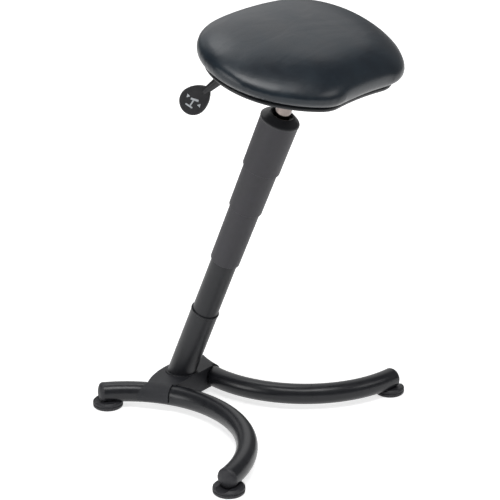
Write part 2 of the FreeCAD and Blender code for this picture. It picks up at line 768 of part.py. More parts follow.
# The cushion's sides swell out and draw in again, and its top is a low crown
cushion_sections = []
undercut = math.sin(math.radians(CUSHION_UNDERCUT)) ** CUSHION_FULLNESS
for step in range(CUSHION_STEPS):
    climb = step / (CUSHION_STEPS - 1)
    turn = math.radians(climb * (CUSHION_CROWN_END + CUSHION_UNDERCUT) - CUSHION_UNDERCUT)
    swell = math.copysign(abs(math.sin(turn)) ** CUSHION_FULLNESS, turn)
    height = (swell + undercut) / (1 + undercut) * CUSHION_THICKNESS
    scale = math.cos(turn) ** CUSHION_SQUARENESS
    cushion_sections.append((scale, SEAT_TRAY_HEIGHT + height))
pieces["seat_tray"] = on_seat(seat_tray())
pieces["seat_board"] = on_seat(seat_board())
# The board stands up into a pocket in the foam
board_pocket = seat_loft([(board_scale, SEAT_TRAY_HEIGHT - 1), (board_scale, board_top)])
pieces["cushion"] = on_seat(seat_loft(cushion_sections, True).cut(board_pocket))


def seat_screw(spot):
    """Hexagon-socket screw, from under the plate into its tee nut."""
    head = Part.makeCylinder(5.5, 4.0, Vector(0, 0, -PLATE_THICKNESS - 4))
    head = head.cut(Part.makeCylinder(2.6, 2.5, Vector(0, 0, -PLATE_THICKNESS - 4)))
    screw = head.fuse(Part.makeCylinder(3.0, PLATE_THICKNESS + 11.5, Vector(0, 0, -PLATE_THICKNESS)))
    screw.translate(spot)
    return screw


def tee_nut(spot):
    flange = ring(8.8, 3.05, board_top - 1.4, board_top - 0.1)
    nut = flange.fuse(ring(3.95, 3.05, board_low + 1, board_top - 1.4)).removeSplitter()
    nut.translate(spot)
    return nut


pieces["seat_screws"] = on_seat(Part.makeCompound([seat_screw(spot) for spot in screw_places]))
pieces["tee_nuts"] = on_seat(Part.makeCompound([tee_nut(spot) for spot in screw_places]))


# Mechanism under the seat
def mounting_plate():
    """Stamped plate with rounded corners, screwed to the seat."""
    half_x = SCREW_SPACING_X / 2 + 16
    half_y = SCREW_SPACING_Y / 2 + 16
    plate = box_between((-half_x, -half_y, -PLATE_THICKNESS), (half_x, half_y, 0))
    upright = [e for e in plate.Edges if abs(e.tangentAt(e.FirstParameter).z) > 0.9]
    plate = plate.makeFillet(14, upright)
    window = box_between((-half_x + 34, 58, -5), (half_x - 34, half_y - 12, 5))
    return plate.cut(holes(3.3, -5, 5)).cut(window).cut(window.mirror(ORIGIN, ALONG_Y))


lever_turn = Rotation(UP, LEVER_DIRECTION)
# The lever lies just above the button, whose place follows from the column's lean
button_top = seat_frame.inverse().multVec(column_frame.multVec(Vector(0, 0, button_height)))
lever_frame = Placement(Vector(button_top.x, button_top.y, -LEVER_DROP), lever_turn)


def on_lever(shape):
    """Moves a shape from the lever's frame, X outwards along the lever, into the seat's frame."""
    placed = shape.copy()
    placed.Placement = lever_frame.multiply(placed.Placement)
    return placed


def mechanism_housing():
    """Channel folded from sheet, open at both ends, with a slot for the lever."""
    half_x = HOUSING_WIDTH / 2
    half_y = HOUSING_LENGTH / 2
    low = -PLATE_THICKNESS - HOUSING_DEPTH
    channel = box_between((-half_x, -half_y, low), (half_x, half_y, -PLATE_THICKNESS))
    bends = []
    for edge in channel.Edges:
        middle = edge.CenterOfMass
        if abs(middle.z - low) < 0.1 and abs(middle.y) < 0.1:
            bends.append(edge)
    channel = channel.makeFillet(8, bends)
    inner_x = half_x - HOUSING_SHEET
    inner = box_between((-inner_x, -half_y - 1, low + HOUSING_SHEET), (inner_x, half_y + 1, 1))
    inner_bends = []
    for edge in inner.Edges:
        middle = edge.CenterOfMass
        if abs(middle.z - low - HOUSING_SHEET) < 0.1 and abs(middle.y) < 0.1:
            inner_bends.append(edge)
    inner = inner.makeFillet(8 - HOUSING_SHEET, inner_bends)
    channel = channel.cut(inner)
    slot = on_lever(box_between((28, -9, -8), (52, 9, 12)))
    socket_hole = column_in_seat(Part.makeCylinder(SOCKET_DIAMETER / 2, 60, Vector(0, 0, 660)))
    return channel.cut(slot).cut(socket_hole)


def taper_socket():
    """Turned sleeve, bored to the cylinder's taper and welded through the housing."""
    slope = (cylinder_radius - TAPER_TOP_DIAMETER / 2) / (CYLINDER_TOP - CYLINDER_SHOULDER)

    def bore_at(height):
        return cylinder_radius - slope * (height - CYLINDER_SHOULDER)

    low = CYLINDER_SHOULDER + 4
    high = CYLINDER_TOP - 1
    radius = SOCKET_DIAMETER / 2
    profile = [
        (bore_at(low) + 1, low),
        (radius - 3, low),
        (radius - 1, low + 4),
        (radius, low + 8),
        (radius, high),
        (bore_at(high), high),
        (bore_at(low + 1), low + 1),
    ]
    return turned(profile)


def lever_cradle():
    """Welded fork that holds the lever's pivot pin on both sides of the rod."""
    low = LEVER_DROP - PLATE_THICKNESS
    fork = box_between((LEVER_PIVOT_REACH - 6, -10, -6), (LEVER_PIVOT_REACH + 6, 10, low))
    gap = box_between((LEVER_PIVOT_REACH - 7, -7.5, -7), (LEVER_PIVOT_REACH + 7, 7.5, low - 2.5))
    pin_hole = Part.makeCylinder(2.56, 30, Vector(LEVER_PIVOT_REACH, -15, 0), ALONG_Y)
    return on_lever(fork.cut(gap).cut(pin_hole))


def lever_pivot_pin():
    pin = Part.makeCylinder(2.5, 23, Vector(LEVER_PIVOT_REACH, -11.5, 0), ALONG_Y)
    head = Part.makeCylinder(4.0, 1.5, Vector(LEVER_PIVOT_REACH, -11.6, 0), ALONG_Y)
    return on_lever(pin.fuse(head).removeSplitter())


pieces["mounting_plate"] = on_seat(mounting_plate())
pieces["mechanism_housing"] = on_seat(mechanism_housing())
pieces["taper_socket"] = on_column(taper_socket())
pieces["lever_cradle"] = on_seat(lever_cradle())
pieces["lever_pivot_pin"] = on_seat(lever_pivot_pin())


# Height lever: a bent steel rod in a moulded handle that ends in a paddle
turn_down = math.radians(LEVER_TURN_DOWN)
elbow = Vector(LEVER_REACH, 0, 0)
outward = Vector(math.cos(turn_down), 0, -math.sin(turn_down))
paddle_middle = elbow + outward * (LEVER_OUTER + PADDLE_LENGTH / 2 - 2)
# The paddle's face is turned about the lever's outer stretch, towards the sitter
paddle_turn = Rotation(outward, PADDLE_TWIST).multiply(Rotation(ALONG_Y, LEVER_TURN_DOWN))


def lever_rod():
    radius = LEVER_ROD_DIAMETER / 2
    inner = Part.makeCylinder(radius, LEVER_REACH + 8, Vector(-8, 0, 0), ALONG_X)
    joint = Part.makeSphere(radius, elbow)
    outer = Part.makeCylinder(radius, LEVER_OUTER - 8, elbow, outward)
    return inner.fuse([joint, outer]).removeSplitter()


def teardrop(thickness):
    """Paddle's plate: a round end about the origin and bulging sides that draw in to a neck at -X."""
    round_radius = PADDLE_WIDTH / 2
    low = -thickness / 2
    neck = Vector(-PADDLE_NECK_REACH, PADDLE_NECK_WIDTH / 2, 0)
    # Each side is an arc tangent to the round end, so its centre lies on the meeting point's spoke
    spoke = Vector(math.cos(math.radians(97)), math.sin(math.radians(97)), 0)
    meeting = spoke * round_radius
    side_radius = (meeting - neck).Length ** 2 / (2 * (round_radius - spoke.dot(neck)))
    side_centre = spoke * (round_radius - side_radius)
    bulge = (meeting + neck) * 0.5 - side_centre
    bulge.normalize()
    side_middle = side_centre + bulge * side_radius

    def upper(point):
        return Vector(point.x, point.y, low)

    def lower(point):
        return Vector(point.x, -point.y, low)

    edges = [
        Part.Arc(upper(meeting), Vector(round_radius, 0, low), lower(meeting)).toShape(),
        Part.Arc(lower(meeting), lower(side_middle), lower(neck)).toShape(),
        Part.makeLine(lower(neck), upper(neck)),
        Part.Arc(upper(neck), upper(side_middle), upper(meeting)).toShape(),
    ]
    plate = Part.Face(Part.Wire(edges)).extrude(Vector(0, 0, thickness))
    flat_edges = []
    for edge in plate.Edges:
        if edge.BoundBox.ZLength < 0.01 and edge.BoundBox.XLength > 0.01:
            flat_edges.append(edge)
    return plate.makeFillet(2.4, flat_edges)


def lever_handle():
    """Grip over the rod, a rounded knuckle at the bend, and a slimmer neck that carries the paddle."""
    grip_length = LEVER_REACH - LEVER_GRIP_START
    grip_foot = Vector(LEVER_GRIP_START, 0, 0)
    grip = Part.makeCone(LEVER_GRIP_RADIUS + 1, LEVER_GRIP_RADIUS, grip_length, grip_foot, ALONG_X)
    knuckle = Part.makeSphere(LEVER_GRIP_RADIUS, elbow)
    neck = Part.makeCone(LEVER_GRIP_RADIUS, LEVER_NECK_RADIUS, LEVER_OUTER, elbow, outward)
    paddle = teardrop(PADDLE_THICKNESS)
    paddle.Placement = Placement(paddle_middle, paddle_turn)
    return grip.fuse([knuckle, neck, paddle]).removeSplitter()


rod_with_hole = lever_rod().cut(
    Part.makeCylinder(2.56, 20, Vector(LEVER_PIVOT_REACH, -10, 0), ALONG_Y)
)
pieces["lever_rod"] = on_seat(on_lever(rod_with_hole))
pieces["lever_handle"] = on_seat(on_lever(lever_handle().cut(lever_rod())))


# The finished model's origin is on the floor, in the middle of the whole object's footprint
def footprint_shift():
    low = min(shape.optimalBoundingBox(False, False).YMin for shape in pieces.values())
    high = max(shape.optimalBoundingBox(False, False).YMax for shape in pieces.values())
    return Vector(0, -(low + high) / 2, 0)


shift = footprint_shift()
print("footprint shift", round(shift.y, 3))


def told(label, point):
    """Prints a point of the finished model in metres."""
    placed = point + shift
    print(label, [round(value / 1000, 6) for value in (placed.x, placed.y, placed.z)])


seat_turn = seat_frame.Rotation
lever_pivot = seat_frame.multVec(lever_frame.multVec(Vector(LEVER_PIVOT_REACH, 0, 0)))
lever_across = seat_turn.multVec(lever_turn.multVec(ALONG_Y))
told("column axis at the cap", column_frame.multVec(Vector(0, 0, CAP_SEAM)))
paddle_place = seat_frame.multiply(lever_frame).multiply(Placement(paddle_middle, paddle_turn))
told("paddle centre", paddle_place.Base)
for label, way in (("paddle length", ALONG_X), ("paddle face", UP)):
    print(label, "direction", [round(value, 6) for value in paddle_place.Rotation.multVec(way)])
told("seat origin", seat_origin)
told("lever pivot", lever_pivot)
print("column axis direction", [round(value, 6) for value in column_axis])
print("lever pivot direction", [round(value, 6) for value in lever_across])
for place_name, foot_angle in (("front", FRONT_FOOT_ANGLE), ("rear", REAR_FOOT_ANGLE)):
    told(place_name + " right foot", foot_place(foot_angle))

os.makedirs("parts", exist_ok=True)
for name, shape in pieces.items():
    moved = shape.copy()
    moved.translate(shift)
    if not moved.isValid():
        print("not valid:", name)
    moved.exportStep("parts/" + name + ".step")
print(len(pieces), "pieces written")
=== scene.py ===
import json
import math

import bpy
from mathutils import Matrix, Vector


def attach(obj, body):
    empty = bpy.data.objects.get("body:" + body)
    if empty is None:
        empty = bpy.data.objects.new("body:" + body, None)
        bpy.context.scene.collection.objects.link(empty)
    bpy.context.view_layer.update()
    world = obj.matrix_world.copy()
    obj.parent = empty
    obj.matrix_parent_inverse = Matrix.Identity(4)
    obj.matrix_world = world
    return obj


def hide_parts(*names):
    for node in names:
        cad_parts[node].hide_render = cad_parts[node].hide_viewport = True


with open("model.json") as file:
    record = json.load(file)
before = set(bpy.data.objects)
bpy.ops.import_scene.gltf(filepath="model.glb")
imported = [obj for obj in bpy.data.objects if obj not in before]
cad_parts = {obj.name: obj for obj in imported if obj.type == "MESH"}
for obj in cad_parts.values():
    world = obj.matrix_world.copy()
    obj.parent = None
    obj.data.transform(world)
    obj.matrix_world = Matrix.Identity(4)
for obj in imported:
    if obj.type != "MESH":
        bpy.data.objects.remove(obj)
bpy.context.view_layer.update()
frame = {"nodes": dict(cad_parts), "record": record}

nodes = frame["nodes"]
print("frame loaded,", len(nodes), "nodes")

# The seat's own frame: its origin is under the seat on the column's axis, Z square to the board
seatPlace = {"origin": (0.0, -0.113936, 0.67473), "tiltDegrees": 16}
seatFrame = Matrix.Translation(seatPlace["origin"]) @ Matrix.Rotation(
    math.radians(seatPlace["tiltDegrees"]), 4, "X"
)
seatFrameBack = seatFrame.inverted()

# The lever's paddle: its middle and the way its face looks
paddlePlace = {
    "middle": (-0.115829, 0.021326, 0.622526),
    "faceWay": (-0.889487, -0.39749, 0.22542),
    "thickness": 0.008,
}

# The column's lean, and the point where its axis meets the floor
columnPlace = {"floorPoint": (0.0, 0.17247, 0.0), "leanDegrees": 23}


def deselectAll():
    for item in bpy.context.selected_objects:
        item.select_set(False)


def pick(piece):
    # One piece selected and active, ready for an operator
    deselectAll()
    piece.select_set(True)
    bpy.context.view_layer.objects.active = piece


def applyModifiers(piece):
    pick(piece)
    for modifier in list(piece.modifiers):
        bpy.ops.object.modifier_apply(modifier=modifier.name)


def copyOfNode(nodeName, pieceName):
    # A free copy of a CAD node, its loose triangles merged
    original = nodes[nodeName]
    piece = bpy.data.objects.new(pieceName, original.data.copy())
    bpy.context.scene.collection.objects.link(piece)
    pick(piece)
    bpy.ops.object.mode_set(mode="EDIT")
    bpy.ops.mesh.select_all(action="SELECT")
    bpy.ops.mesh.remove_doubles(threshold=0.00002)
    bpy.ops.mesh.customdata_custom_splitnormals_clear()
    bpy.ops.mesh.normals_make_consistent(inside=False)
    bpy.ops.object.mode_set(mode="OBJECT")
    return piece


def toLinear(hexColour):
    # sRGB hex to the linear colour that the shaders take
    linear = []
    for start in (1, 3, 5):
        part = int(hexColour[start : start + 2], 16) / 255
        linear.append(part / 12.92 if part <= 0.04045 else ((part + 0.055) / 1.055) ** 2.4)
    return (*linear, 1.0)


def addNode(tree, kind, settings=None, links=None):
    # Settings go to a socket of that name or number, or else to the node itself
    node = tree.nodes.new(kind)
    for name, value in (settings or {}).items():
        if isinstance(name, int) or name in node.inputs:
            node.inputs[name].default_value = value
        else:
            setattr(node, name, value)
    for name, source in (links or {}).items():
        tree.links.new(source, node.inputs[name])
    return node


def newMaterial(name, settings):
    # An empty material with its shader, and the piece's own coordinates in metres
    material = bpy.data.materials.new(name)
    material.use_nodes = True
    tree = material.node_tree
    shader = tree.nodes["Principled BSDF"]
    for socket, value in settings.items():
        shader.inputs[socket].default_value = value
    place = addNode(tree, "ShaderNodeTexCoord")
    return material, tree, shader, place.outputs["Object"]


# The noise is mostly between these two levels, which carry the two colours and the two roughnesses
noiseRange = (0.3, 0.7)


def speckle(tree, shader, place, size, colours, roughness):
    # Fine and coarse noise that moves the colour and the roughness a little
    noiseNode = addNode(
        tree,
        "ShaderNodeTexNoise",
        {"Scale": 1 / size, "Detail": 4.0, "Roughness": 0.6},
        {"Vector": place},
    )
    ramp = addNode(tree, "ShaderNodeValToRGB", links={"Fac": noiseNode.outputs["Fac"]})
    for element, position, colour in zip(ramp.color_ramp.elements, noiseRange, colours):
        element.position = position
        element.color = toLinear(colour)
    tree.links.new(ramp.outputs["Color"], shader.inputs["Base Color"])
    spread = addNode(
        tree,
        "ShaderNodeMapRange",
        {
            "From Min": noiseRange[0],
            "From Max": noiseRange[1],
            "To Min": roughness[0],
            "To Max": roughness[1],
        },
        {"Value": noiseNode.outputs["Fac"]},
    )
    tree.links.new(spread.outputs["Result"], shader.inputs["Roughness"])


def grainBump(tree, shader, place, size, depth):
    # A fine unevenness, its grain size and its depth in metres
    texture = addNode(tree, "ShaderNodeTexNoise", {"Scale": 1 / size, "Detail": 3.0}, {"Vector": place})
    bump = addNode(
        tree, "ShaderNodeBump", {"Strength": 1.0, "Distance": depth}, {"Height": texture.outputs["Fac"]}
    )
    tree.links.new(bump.outputs["Normal"], shader.inputs["Normal"])


# Powder coat on the base: baked polyester powder, an even satin skin with a slight orange peel
powderCoat = {
    "colours": ("#1a1b1f", "#212226"),
    "roughness": (0.27, 0.34),
    "patches": 0.012,
    "peel": 0.0016,
    "peelDepth": 0.00006,
}


def makePowderCoat(name, values):
    material, tree, shader, place = newMaterial(name, {"IOR": 1.42})
    speckle(tree, shader, place, powderCoat["patches"], values["colours"], values["roughness"])
    grainBump(tree, shader, place, values["peel"], powderCoat["peelDepth"])
    return material


# Moulded ABS: spark-eroded mould texture, which scatters the light softly
mouldedAbs = {
    "colours": ("#363539", "#3d3c41"),
    "roughness": (0.5, 0.58),
    "patches": 0.02,
    "grain": 0.0011,
    "grainDepth": 0.00008,
}


def makeMouldedPlastic(name, values):
    material, tree, shader, place = newMaterial(name, {"IOR": 1.46})
    speckle(tree, shader, place, mouldedAbs["patches"], values["colours"], values["roughness"])
    grainBump(tree, shader, place, values["grain"], mouldedAbs["grainDepth"])
    return material


# Metal: chrome is smooth, and zinc plate has a fine crystal grain
metalValues = {"patches": 0.004, "grainDepth": 0.00002}


def makeMetal(name, colours, roughness, grain=0.0):
    # Metal keeps the default IOR; its colour is its reflectance, except the chrome's, which is darkened
    # with painted shade
    material, tree, shader, place = newMaterial(name, {"Metallic": 1.0})
    speckle(tree, shader, place, metalValues["patches"], colours, roughness)
    if grain:
        grainBump(tree, shader, place, grain, metalValues["grainDepth"])
    return material


def makePlywood(name):
    # Rotary-cut birch: pale, with a long faint figure
    material, tree, shader, place = newMaterial(name, {"Roughness": 0.6, "IOR": 1.5})
    seatSpace = addNode(
        tree,
        "ShaderNodeMapping",
        {"Rotation": (math.radians(-seatPlace["tiltDegrees"]), 0, 0)},
        {"Vector": place},
    )
    figure = addNode(
        tree,
        "ShaderNodeTexWave",
        {"bands_direction": "X", "Scale": 22.0, "Distortion": 9.0, "Detail": 3.0, "Detail Scale": 1.4},
        {"Vector": seatSpace.outputs["Vector"]},
    )
    ramp = addNode(tree, "ShaderNodeValToRGB", links={"Fac": figure.outputs["Fac"]})
    ramp.color_ramp.elements[0].color = toLinear("#b8935f")
    ramp.color_ramp.elements[1].color = toLinear("#d8bb8a")
    tree.links.new(ramp.outputs["Color"], shader.inputs["Base Color"])
    return material


# The saddle is folded from plate, which takes the powder a little drier than drawn tube does
sheetCoat = {"colours": ("#232428", "#2a2b2f"), "roughness": (0.52, 0.6), "peel": 0.0022}

finishes = {
    "tube_paint": makePowderCoat("powderCoatedTube", powderCoat),
    "column_paint": makePowderCoat("powderCoatedColumn", {**powderCoat, "roughness": (0.38, 0.45)}),
    "cover_plastic": makeMouldedPlastic("sparkErodedAbs", mouldedAbs),
    # The cap's colours are lighter than its black plastic's own: painted light that fills the seat's shadow
    # on the cap
    "cap_plastic": makeMouldedPlastic(
        "glossyMouldedAbs", {"colours": ("#2b2c2f", "#323336"), "roughness": (0.36, 0.44), "grain": 0.002}
    ),
    "foot_plastic": makeMouldedPlastic(
        "mouldedPolypropylene",
        {"colours": ("#242428", "#2b2b2f"), "roughness": (0.5, 0.58), "grain": 0.0014},
    ),
    "tray_plastic": makeMouldedPlastic(
        "trayPolypropylene", {"colours": ("#1a1c1f", "#202226"), "roughness": (0.4, 0.48), "grain": 0.0012}
    ),
    "lever_plastic": makeMouldedPlastic(
        "leverPolyamide", {"colours": ("#1c1c1f", "#232326"), "roughness": (0.36, 0.44), "grain": 0.001}
    ),
    "bush_plastic": makeMouldedPlastic(
        "naturalPolyamide", {"colours": ("#d6d3c8", "#dedbd1"), "roughness": (0.38, 0.46), "grain": 0.0012}
    ),
    "rubber": makeMouldedPlastic(
        "nitrileRubber", {"colours": ("#18181a", "#1e1e20"), "roughness": (0.7, 0.8), "grain": 0.0014}
    ),
    # The chrome's colours are far darker than chrome's own reflectance: painted shade and painted dark
    # reflection for the rod under the seat
    "chrome": makeMetal("polishedChrome", ("#7a716d", "#877d79"), (0.09, 0.14)),
    "steel": makeMetal("zincPlatedSteel", ("#b5b7b8", "#c4c6c7"), (0.28, 0.4), 0.0008),
    "black_steel": makePowderCoat(
        "blackCoatedSteel", {"colours": ("#191a1b", "#202122"), "roughness": (0.38, 0.46), "peel": 0.0014}
    ),
    "plywood": makePlywood("birchPlywood"),
    "vinyl": makeMouldedPlastic(
        "plainVinyl", {"colours": ("#16191d", "#1b1f23"), "roughness": (0.36, 0.44), "grain": 0.0018}
    ),
}

slotOfNode = {part["node"]: part["material_slot"] for part in frame["record"]["subparts"]}
for nodeName, item in nodes.items():
    for slot in item.material_slots:
        slot.material = finishes[slotOfNode[nodeName]]
for slot in nodes["saddle_bracket"].material_slots:
    slot.material = makePowderCoat("powderCoatedSheet", sheetCoat)
print("finishes on the frame's nodes")

# Cushion: foam under artificial leather, drawn down over the board to the tray's rim
cushionValues = {
    "voxel": 0.0048,
    "startScale": 1.004,
    "footScale": 0.99,
    "footHeights": (0.006, 0.03),
    "footGive": 0.4,
    "crownLift": 0.005,
    "frontDrop": 0.018,
    "rearDrop": 0.001,
    "dropBlend": (-0.11, 0.1),
    "shoulderStart": 0.44,
    "shoulderHeights": (0.3, 0.8),
    "sectors": 72,
    "relaxRounds": 6,
    "settleRounds": 36,
    "settledScale": 1.014,
    "heldHeight": 0.013,
    "pressure": 4.0,
    "stiffness": {"tension": 60, "compression": 60, "shear": 40, "bending": 30},
    "mostMove": 0.006,
    "frames": 20,
}

# Artificial leather: PVC on cloth, embossed with a fine pebble grain and drawn tight over foam
leatherette = {
    "colours": ("#0c151e", "#142029"),
    "roughness": (0.31, 0.39),
    "patches": 0.06,
    "pebble": 0.0021,
    "pebbleDepth": 0.00018,
    "streakWidth": 0.0042,
    "gatherDepth": 0.0011,
    "gatherHeights": (0.012, 0.038),
    "creaseLength": 0.05,
    "creaseDepth": 0.0016,
}


def makeLeatherette():
    material, tree, shader, place = newMaterial("embossedLeatherette", {"IOR": 1.46})
    speckle(tree, shader, place, leatherette["patches"], leatherette["colours"], leatherette["roughness"])
    seatSpace = addNode(
        tree,
        "ShaderNodeMapping",
        {
            "vector_type": "TEXTURE",
            "Location": seatPlace["origin"],
            "Rotation": (math.radians(seatPlace["tiltDegrees"]), 0, 0),
        },
        {"Vector": place},
    ).outputs["Vector"]
    split = addNode(tree, "ShaderNodeSeparateXYZ", links={"Vector": seatSpace})
    # Gathers: upright streaks just above the lower edge, stronger in some stretches than in others
    streakSpace = addNode(tree, "ShaderNodeMapping", {"Scale": (1, 1, 0.07)}, {"Vector": seatSpace})
    streaks = addNode(
        tree,
        "ShaderNodeTexNoise",
        {"Scale": 1 / leatherette["streakWidth"], "Detail": 2.0},
        {"Vector": streakSpace.outputs["Vector"]},
    )
    fadeOut = addNode(
        tree,
        "ShaderNodeMapRange",
        {
            "interpolation_type": "SMOOTHSTEP",
            "From Min": leatherette["gatherHeights"][0],
            "From Max": leatherette["gatherHeights"][1],
            "To Min": 1.0,
            "To Max": 0.0,
        },
        {"Value": split.outputs["Z"]},
    )
    stretches = addNode(tree, "ShaderNodeTexNoise", {"Scale": 18.0, "Detail": 1.0}, {"Vector": seatSpace})
    stretchLevel = addNode(
        tree,
        "ShaderNodeMapRange",
        {"interpolation_type": "SMOOTHSTEP", "From Min": 0.4, "From Max": 0.62},
        {"Value": stretches.outputs["Fac"]},
    )
    gatherLevel = addNode(
        tree, "ShaderNodeMath", {"operation": "MULTIPLY"},
        {0: fadeOut.outputs["Result"], 1: stretchLevel.outputs["Result"]},
    )
    gathers = addNode(
        tree, "ShaderNodeMath", {"operation": "MULTIPLY"},
        {0: streaks.outputs["Fac"], 1: gatherLevel.outputs[0]},
    )
    gatherBump = addNode(
        tree,
        "ShaderNodeBump",
        {"Strength": 0.8, "Distance": leatherette["gatherDepth"]},
        {"Height": gathers.outputs[0]},
    )
    # Soft creases across the top, where the cover has eased with use
    creaseSpace = addNode(tree, "ShaderNodeMapping", {"Scale": (0.45, 1.3, 1)}, {"Vector": seatSpace})
    creases = addNode(
        tree,
        "ShaderNodeTexNoise",
        {"Scale": 1 / leatherette["creaseLength"], "Detail": 2.0, "Distortion": 0.6},
        {"Vector": creaseSpace.outputs["Vector"]},
    )
    creaseBump = addNode(
        tree,
        "ShaderNodeBump",
        {"Strength": 0.5, "Distance": leatherette["creaseDepth"]},
        {"Height": creases.outputs["Fac"], "Normal": gatherBump.outputs["Normal"]},
    )
    # The real pebbles are under a millimetre, too fine for the render, so these are a little coarser
    pebbles = addNode(tree, "ShaderNodeTexVoronoi", {"Scale": 1 / leatherette["pebble"]}, {"Vector": place})
    pebbleBump = addNode(
        tree,
        "ShaderNodeBump",
        {"Strength": 0.25, "Distance": leatherette["pebbleDepth"], "invert": True},
        {"Height": pebbles.outputs["Distance"], "Normal": creaseBump.outputs["Normal"]},
    )
    tree.links.new(pebbleBump.outputs["Normal"], shader.inputs["Normal"])
    return material


def inflate(piece, values):
    # A short cloth run with air inside lets the cover find its own tension over the foam
    heldPoints = piece.vertex_groups.new(name="heldEdge")
    for point in piece.data.vertices:
        if point.co.z < values["heldHeight"]:
            heldPoints.add([point.index], 1.0, "REPLACE")
    before = [point.co.copy() for point in piece.data.vertices]
    piece.data.transform(seatFrame)
    cloth = piece.modifiers.new("coverTension", "CLOTH")
    cloth.settings.use_pressure = True
    cloth.settings.uniform_pressure_force = values["pressure"]
    cloth.settings.effector_weights.gravity = 0
    cloth.settings.vertex_group_mass = "heldEdge"
    cloth.settings.quality = 6
    for kind, stiffness in values["stiffness"].items():
        setattr(cloth.settings, kind + "_stiffness", stiffness)
    scene = bpy.context.scene
    for frameNumber in range(1, values["frames"] + 1):
        scene.frame_set(frameNumber)
    applyModifiers(piece)
    scene.frame_set(1)
    piece.data.transform(seatFrameBack)
    for point, start in zip(piece.data.vertices, before):
        move = point.co - start
        if move.length > values["mostMove"]:
            point.co = start + move.normalized() * values["mostMove"]


def smoothStep(value, low, high):
    share = min(max((value - low) / (high - low), 0), 1)
    return share * share * (3 - 2 * share)


def domeCushion(piece, values):
    # Higher in the middle and lower towards the edge, so the shoulder becomes one broad curve
    sectors = values["sectors"]
    reach = [0.0] * sectors
    for point in piece.data.vertices:
        sector = int((math.atan2(point.co.y, point.co.x) / (2 * math.pi) + 0.5) * sectors) % sectors
        reach[sector] = max(reach[sector], point.co.xy.length)
    # The front's hollow is evened out, so it makes no folds on top
    evened = [max(reach[(sector + step) % sectors] for step in range(-7, 8)) for sector in range(sectors)]
    reach = [
        sum(evened[(sector + step) % sectors] for step in range(-4, 5)) / 9 for sector in range(sectors)
    ]
    highest = max(point.co.z for point in piece.data.vertices)
    for point in piece.data.vertices:
        turn = (math.atan2(point.co.y, point.co.x) / (2 * math.pi) + 0.5) * sectors - 0.5
        before = reach[math.floor(turn) % sectors]
        after = reach[(math.floor(turn) + 1) % sectors]
        share = turn - math.floor(turn)
        outward = min(point.co.xy.length / (before * (1 - share) + after * share), 1)
        upper = smoothStep(point.co.z / highest, *values["shoulderHeights"])
        point.co.z += upper * values["crownLift"] * (1 - outward**2)
        rearward = smoothStep(point.co.y, *values["dropBlend"])
        drop = values["frontDrop"] * (1 - rearward) + values["rearDrop"] * rearward
        point.co.z -= upper * drop * smoothStep(outward, values["shoulderStart"], 1.0)


def makeCushion():
    piece = copyOfNode("cushion", "seatCushion")
    piece.data.transform(seatFrameBack)
    footLow, footHigh = cushionValues["footHeights"]
    for point in piece.data.vertices:
        rise = min(max((point.co.z - footLow) / (footHigh - footLow), 0), 1)
        spread = cushionValues["footScale"] * (1 - rise) + cushionValues["startScale"] * rise
        point.co.x *= spread
        point.co.y *= spread
    domeCushion(piece, cushionValues)
    remesh = piece.modifiers.new("evenMesh", "REMESH")
    remesh.mode = "VOXEL"
    remesh.voxel_size = cushionValues["voxel"]
    smooth = piece.modifiers.new("relaxed", "SMOOTH")
    smooth.factor = 0.5
    smooth.iterations = cushionValues["relaxRounds"]
    applyModifiers(piece)
    inflate(piece, cushionValues)
    freeCover = piece.vertex_groups.new(name="freeCover")
    for point in piece.data.vertices:
        rise = min(max((point.co.z - footLow) / (footHigh - footLow), 0), 1)
        give = cushionValues["footGive"] * (1 - rise) + rise
        freeCover.add([point.index], give, "REPLACE")
    settle = piece.modifiers.new("settled", "SMOOTH")
    settle.vertex_group = "freeCover"
    settle.factor = 0.5
    settle.iterations = cushionValues["settleRounds"]
    finer = piece.modifiers.new("finer", "SUBSURF")
    finer.levels = finer.render_levels = 1
    applyModifiers(piece)
    for point in piece.data.vertices:
        point.co.x *= cushionValues["settledScale"]
        point.co.y *= cushionValues["settledScale"]
    piece.data.transform(seatFrame)
    piece.data.shade_smooth()
    piece.data.materials.clear()
    piece.data.materials.append(makeLeatherette())
    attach(piece, "seat")
    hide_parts("cushion")
    return piece


seatCushion = makeCushion()
print("cushion:", len(seatCushion.data.polygons), "faces")

# Weld bead round the column's foot, where it stands on the saddle's deck
weldBead = {
    "deckHeight": 0.05,
    "ringRadius": 0.0268,
    "beadRadius": 0.0019,
    "ripples": 58,
    "rippleDepth": 0.00028,
}


def makeWeldBead():
    deselectAll()
    bpy.ops.mesh.primitive_torus_add(
        major_segments=232, minor_segments=10,
        major_radius=weldBead["ringRadius"], minor_radius=weldBead["beadRadius"],
    )
    bead = bpy.context.object
    bead.name = "weldBead"
    for point in bead.data.vertices:
        around = math.atan2(point.co.y, point.co.x)
        middle = point.co.xy.normalized().to_3d() * weldBead["ringRadius"]
        ripple = abs(math.sin(around * weldBead["ripples"] / 2)) - 0.5
        point.co += (point.co - middle).normalized() * weldBead["rippleDepth"] * ripple
    # The leaning column meets the level deck in an ellipse
    lean = math.radians(columnPlace["leanDegrees"])
    floorPoint = Vector(columnPlace["floorPoint"])
    deckPoint = floorPoint + Vector((0, -math.tan(lean), 1)) * weldBead["deckHeight"]
    bead.data.transform(Matrix.Translation(deckPoint) @ Matrix.Diagonal((1, 1 / math.cos(lean), 1, 1)))
    bead.data.shade_smooth()
    bead.data.materials.append(finishes["column_paint"])
    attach(bead, "base")


makeWeldBead()
print("weld bead at the column's foot")

